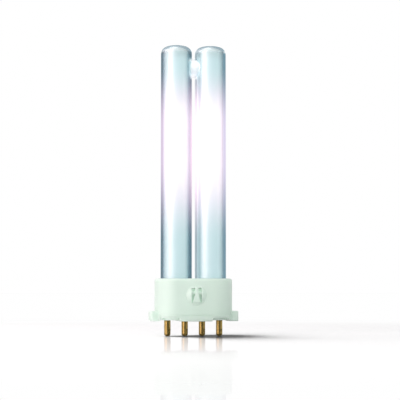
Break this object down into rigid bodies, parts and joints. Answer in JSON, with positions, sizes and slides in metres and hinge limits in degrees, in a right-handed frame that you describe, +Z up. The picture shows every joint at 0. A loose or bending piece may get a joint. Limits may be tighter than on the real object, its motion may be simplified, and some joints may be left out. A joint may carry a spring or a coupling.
{
  "type": "compact fluorescent lamp",
  "caption": "Twin-tube compact fluorescent lamp with a moulded base, side lugs and contact pins in line.",
  "frame": {"origin": "middle of the seating face under the base, on the row of pins", "axes": "+Z up along the limbs, +X along the row of pins, front of the base towards -Y"},
  "size_m": [0.0356, 0.0198, 0.1174],
  "materials": {
    "coated_glass": "clear glass with a white phosphor coat inside",
    "base_plastic": "moulded, pale green-white, satin",
    "cement": "hard basing cement",
    "pin_brass": "drawn brass, bright",
    "nickel_wire": "nickel-plated copper wire"
  },
  "bodies": {
    "root": {"discharge_tube": "coated_glass", "base_housing": "base_plastic", "bottom_cover": "base_plastic", "limb_cement_left": "cement", "limb_cement_right": "cement", "contact_pin_1": "pin_brass", "lead_wire_1": "nickel_wire", "contact_pin_2": "pin_brass", "lead_wire_2": "nickel_wire", "contact_pin_3": "pin_brass", "lead_wire_3": "nickel_wire", "contact_pin_4": "pin_brass", "lead_wire_4": "nickel_wire"}
  },
  "joints": []
}
